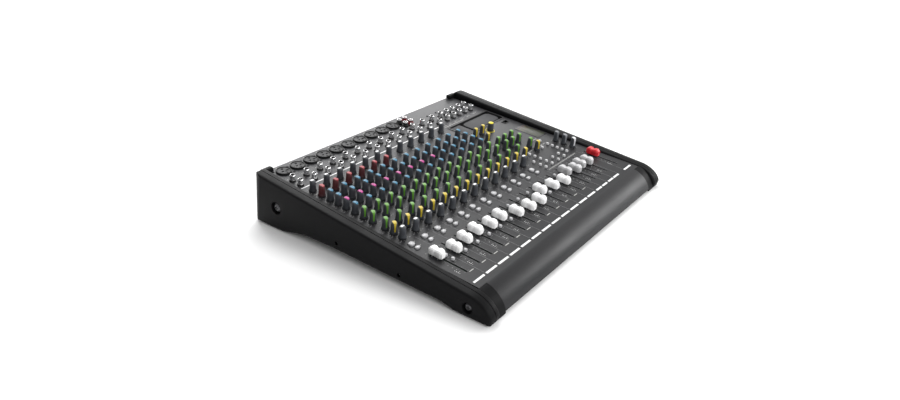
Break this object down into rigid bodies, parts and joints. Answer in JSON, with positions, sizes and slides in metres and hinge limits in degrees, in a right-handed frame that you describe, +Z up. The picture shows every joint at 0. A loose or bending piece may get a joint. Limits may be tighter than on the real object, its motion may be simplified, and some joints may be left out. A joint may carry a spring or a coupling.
{
  "type": "mixing console",
  "caption": "Sloping-panel audio mixing console with channel strips of knobs, buttons and sliding faders, sockets at the rear edge and moulded end cheeks.",
  "frame": {"origin": "on the table under the middle of the console's box", "axes": "+X to the right along the fader rows, +Y from the armrest to the sockets, +Z up"},
  "size_m": [0.502, 0.43, 0.0812],
  "materials": {
    "panel_paint": "satin dark grey powder coat",
    "pan_paint": "black powder coat",
    "cheek_plastic": "fine-grained black moulding",
    "foot_rubber": "black rubber",
    "board_laminate": "green solder mask",
    "fixed_knob_plastic": "dark slate with coloured pointers",
    "jack_metal": "nickel plate",
    "socket_plastic": "black moulding",
    "meter_window": "smoked window",
    "white_cap": "smooth white",
    "grey_cap": "smooth grey",
    "red_cap": "smooth red",
    "button_plastic": "light grey",
    "dark_knob": "dark slate",
    "blue_knob": "dark slate with a blue pointer",
    "pink_knob": "dark slate with a pink pointer",
    "red_knob": "dark slate with a red pointer",
    "green_knob": "dark slate with a green pointer",
    "yellow_knob": "dark slate with a yellow pointer"
  },
  "bodies": {
    "root": {"base_pan": "pan_paint", "top_panel": "panel_paint", "left_cheek": "cheek_plastic", "right_cheek": "cheek_plastic", "front_left_foot": "foot_rubber", "front_right_foot": "foot_rubber", "rear_left_foot": "foot_rubber", "rear_right_foot": "foot_rubber", "fader_board": "board_laminate", "channel_board": "fixed_knob_plastic", "master_board": "fixed_knob_plastic", "jack_board": "jack_metal", "xlr_sockets": "socket_plastic", "rca_sockets": "socket_plastic", "usb_socket": "jack_metal", "device_tray": "socket_plastic", "level_meter": "meter_window", "power_supply": "board_laminate", "effects_board": "board_laminate", "iec_inlet": "socket_plastic", "power_switch_body": "socket_plastic"},
    "channel_01_fader": {"channel_01_fader": "white_cap"},
    "channel_02_fader": {"channel_02_fader": "white_cap"},
    "channel_03_fader": {"channel_03_fader": "white_cap"},
    "channel_04_fader": {"channel_04_fader": "white_cap"},
    "channel_05_fader": {"channel_05_fader": "white_cap"},
    "channel_06_fader": {"channel_06_fader": "white_cap"},
    "channel_07_fader": {"channel_07_fader": "white_cap"},
    "channel_08_fader": {"channel_08_fader": "white_cap"},
    "channel_09_fader": {"channel_09_fader": "white_cap"},
    "channel_10_fader": {"channel_10_fader": "white_cap"},
    "channel_11_fader": {"channel_11_fader": "white_cap"},
    "channel_12_fader": {"channel_12_fader": "white_cap"},
    "group_1_fader": {"group_1_fader": "grey_cap"},
    "group_2_fader": {"group_2_fader": "grey_cap"},
    "group_3_fader": {"group_3_fader": "grey_cap"},
    "group_4_fader": {"group_4_fader": "grey_cap"},
    "main_fader": {"main_fader": "red_cap"},
    "channel_01_pan_knob": {"channel_01_pan_knob": "dark_knob"},
    "channel_01_effects_send_knob": {"channel_01_effects_send_knob": "yellow_knob"},
    "channel_01_aux_3_knob": {"channel_01_aux_3_knob": "green_knob"},
    "channel_01_aux_2_knob": {"channel_01_aux_2_knob": "green_knob"},
    "channel_01_aux_1_knob": {"channel_01_aux_1_knob": "green_knob"},
    "channel_01_low_knob": {"channel_01_low_knob": "blue_knob"},
    "channel_01_mid_frequency_knob": {"channel_01_mid_frequency_knob": "pink_knob"},
    "channel_01_mid_knob": {"channel_01_mid_knob": "blue_knob"},
    "channel_01_high_knob": {"channel_01_high_knob": "blue_knob"},
    "channel_01_compressor_knob": {"channel_01_compressor_knob": "red_knob"},
    "channel_01_gain_knob": {"channel_01_gain_knob": "dark_knob"},
    "effects_encoder": {"effects_encoder": "yellow_knob"},
    "phones_knob": {"phones_knob": "dark_knob"},
    "control_room_knob": {"control_room_knob": "dark_knob"},
    "monitor_knob": {"monitor_knob": "dark_knob"},
    "channel_01_mute_button": {"channel_01_mute_button": "button_plastic"},
    "channel_01_pfl_button": {"channel_01_pfl_button": "button_plastic"},
    "channel_01_route_1_button": {"channel_01_route_1_button": "button_plastic"},
    "channel_01_route_2_button": {"channel_01_route_2_button": "button_plastic"},
    "channel_01_route_3_button": {"channel_01_route_3_button": "button_plastic"},
    "power_rocker": {"power_rocker": "socket_plastic"}
  },
  "joints": [
    {"name": "channel_01_fader_slide", "type": "slide", "parent": "root", "child": "channel_01_fader", "axis": [0, 0.9957, 0.0927], "range_m": [-0.047, 0.013]},
    {"name": "channel_02_fader_slide", "type": "slide", "parent": "root", "child": "channel_02_fader", "axis": [0, 0.9957, 0.0927], "range_m": [-0.04, 0.02]},
    {"name": "channel_07_fader_slide", "type": "slide", "parent": "root", "child": "channel_07_fader", "axis": [0, 0.9957, 0.0927], "range_m": [-0.031, 0.029]},
    {"name": "channel_12_fader_slide", "type": "slide", "parent": "root", "child": "channel_12_fader", "axis": [0, 0.9957, 0.0927], "range_m": [-0.03, 0.03]},
    {"name": "group_1_fader_slide", "type": "slide", "parent": "root", "child": "group_1_fader", "axis": [0, 0.9957, 0.0927], "range_m": [-0.044, 0.016]},
    {"name": "group_4_fader_slide", "type": "slide", "parent": "root", "child": "group_4_fader", "axis": [0, 0.9957, 0.0927], "range_m": [-0.037, 0.023]},
    {"name": "main_fader_slide", "type": "slide", "parent": "root", "child": "main_fader", "axis": [0, 0.9957, 0.0927], "range_m": [-0.044, 0.016]},
    {"name": "channel_01_pan_turn", "type": "hinge", "parent": "root", "child": "channel_01_pan_knob", "pos_m": [-0.212, -0.04634, 0.04542], "axis": [0, -0.0927, 0.9957], "range_deg": [-150, 150]},
    {"name": "channel_01_effects_send_turn", "type": "hinge", "parent": "root", "child": "channel_01_effects_send_knob", "pos_m": [-0.212, -0.0313, 0.04682], "axis": [0, -0.0927, 0.9957], "range_deg": [-300, 0]},
    {"name": "channel_01_aux_3_turn", "type": "hinge", "parent": "root", "child": "channel_01_aux_3_knob", "pos_m": [-0.212, -0.01627, 0.04822], "axis": [0, -0.0927, 0.9957], "range_deg": [-300, 0]},
    {"name": "channel_01_aux_2_turn", "type": "hinge", "parent": "root", "child": "channel_01_aux_2_knob", "pos_m": [-0.212, 0.00633, 0.05032], "axis": [0, -0.0927, 0.9957], "range_deg": [-300, 0]},
    {"name": "channel_01_aux_1_turn", "type": "hinge", "parent": "root", "child": "channel_01_aux_1_knob", "pos_m": [-0.212, 0.02246, 0.05182], "axis": [0, -0.0927, 0.9957], "range_deg": [-300, 0]},
    {"name": "channel_01_low_turn", "type": "hinge", "parent": "root", "child": "channel_01_low_knob", "pos_m": [-0.212, 0.03909, 0.05337], "axis": [0, -0.0927, 0.9957], "range_deg": [-150, 150]},
    {"name": "channel_01_mid_frequency_turn", "type": "hinge", "parent": "root", "child": "channel_01_mid_frequency_knob", "pos_m": [-0.212, 0.05582, 0.05493], "axis": [0, -0.0927, 0.9957], "range_deg": [-150, 150]},
    {"name": "channel_01_mid_turn", "type": "hinge", "parent": "root", "child": "channel_01_mid_knob", "pos_m": [-0.212, 0.07135, 0.05638], "axis": [0, -0.0927, 0.9957], "range_deg": [-150, 150]},
    {"name": "channel_01_high_turn", "type": "hinge", "parent": "root", "child": "channel_01_high_knob", "pos_m": [-0.212, 0.08698, 0.05783], "axis": [0, -0.0927, 0.9957], "range_deg": [-150, 150]},
    {"name": "channel_01_compressor_turn", "type": "hinge", "parent": "root", "child": "channel_01_compressor_knob", "pos_m": [-0.212, 0.10421, 0.05944], "axis": [0, -0.0927, 0.9957], "range_deg": [-150, 150]},
    {"name": "channel_01_gain_turn", "type": "hinge", "parent": "root", "child": "channel_01_gain_knob", "pos_m": [-0.212, 0.12243, 0.06113], "axis": [0, -0.0927, 0.9957], "range_deg": [-150, 150]},
    {"name": "effects_encoder_turn", "type": "hinge", "parent": "root", "child": "effects_encoder", "pos_m": [0.158, 0.06836, 0.0561], "axis": [0, -0.0927, 0.9957], "continuous": true},
    {"name": "phones_turn", "type": "hinge", "parent": "root", "child": "phones_knob", "pos_m": [0.2114, -0.06785, 0.04342], "axis": [0, -0.0927, 0.9957], "range_deg": [-300, 0]},
    {"name": "control_room_turn", "type": "hinge", "parent": "root", "child": "control_room_knob", "pos_m": [0.2114, -0.05062, 0.04502], "axis": [0, -0.0927, 0.9957], "range_deg": [-300, 0]},
    {"name": "monitor_turn", "type": "hinge", "parent": "root", "child": "monitor_knob", "pos_m": [0.2114, -0.03449, 0.04652], "axis": [0, -0.0927, 0.9957], "range_deg": [-300, 0]},
    {"name": "channel_01_mute_press", "type": "slide", "parent": "root", "child": "channel_01_mute_button", "axis": [0, -0.0927, 0.9957], "range_m": [-0.0025, 0], "stiffness_N_per_m": 200},
    {"name": "channel_01_pfl_press", "type": "slide", "parent": "root", "child": "channel_01_pfl_button", "axis": [0, -0.0927, 0.9957], "range_m": [-0.0025, 0], "stiffness_N_per_m": 200},
    {"name": "channel_01_route_1_press", "type": "slide", "parent": "root", "child": "channel_01_route_1_button", "axis": [0, -0.0927, 0.9957], "range_m": [-0.0025, 0], "stiffness_N_per_m": 200},
    {"name": "channel_01_route_2_press", "type": "slide", "parent": "root", "child": "channel_01_route_2_button", "axis": [0, -0.0927, 0.9957], "range_m": [-0.0025, 0], "stiffness_N_per_m": 200},
    {"name": "channel_01_route_3_press", "type": "slide", "parent": "root", "child": "channel_01_route_3_button", "axis": [0, -0.0927, 0.9957], "range_m": [-0.0025, 0], "stiffness_N_per_m": 200},
    {"name": "power_rocker_tilt", "type": "hinge", "parent": "root", "child": "power_rocker", "pos_m": [0.132, 0.2025, 0.04], "axis": [0, 0, 1], "range_deg": [0, 16]},
    {"name": "channel_03_fader_slide", "type": "slide", "parent": "root", "child": "channel_03_fader", "axis": [0, 0.9957, 0.0927], "range_m": [-0.043, 0.017]},
    {"name": "channel_04_fader_slide", "type": "slide", "parent": "root", "child": "channel_04_fader", "axis": [0, 0.9957, 0.0927], "range_m": [-0.045, 0.015]},
    {"name": "channel_05_fader_slide", "type": "slide", "parent": "root", "child": "channel_05_fader", "axis": [0, 0.9957, 0.0927], "range_m": [-0.04, 0.02]},
    {"name": "channel_06_fader_slide", "type": "slide", "parent": "root", "child": "channel_06_fader", "axis": [0, 0.9957, 0.0927], "range_m": [-0.042, 0.018]},
    {"name": "channel_08_fader_slide", "type": "slide", "parent": "root", "child": "channel_08_fader", "axis": [0, 0.9957, 0.0927], "range_m": [-0.027, 0.033]},
    {"name": "channel_09_fader_slide", "type": "slide", "parent": "root", "child": "channel_09_fader", "axis": [0, 0.9957, 0.0927], "range_m": [-0.026, 0.034]},
    {"name": "channel_10_fader_slide", "type": "slide", "parent": "root", "child": "channel_10_fader", "axis": [0, 0.9957, 0.0927], "range_m": [-0.041, 0.019]},
    {"name": "channel_11_fader_slide", "type": "slide", "parent": "root", "child": "channel_11_fader", "axis": [0, 0.9957, 0.0927], "range_m": [-0.035, 0.025]},
    {"name": "group_2_fader_slide", "type": "slide", "parent": "root", "child": "group_2_fader", "axis": [0, 0.9957, 0.0927], "range_m": [-0.037, 0.023]},
    {"name": "group_3_fader_slide", "type": "slide", "parent": "root", "child": "group_3_fader", "axis": [0, 0.9957, 0.0927], "range_m": [-0.04, 0.02]}
  ]
}
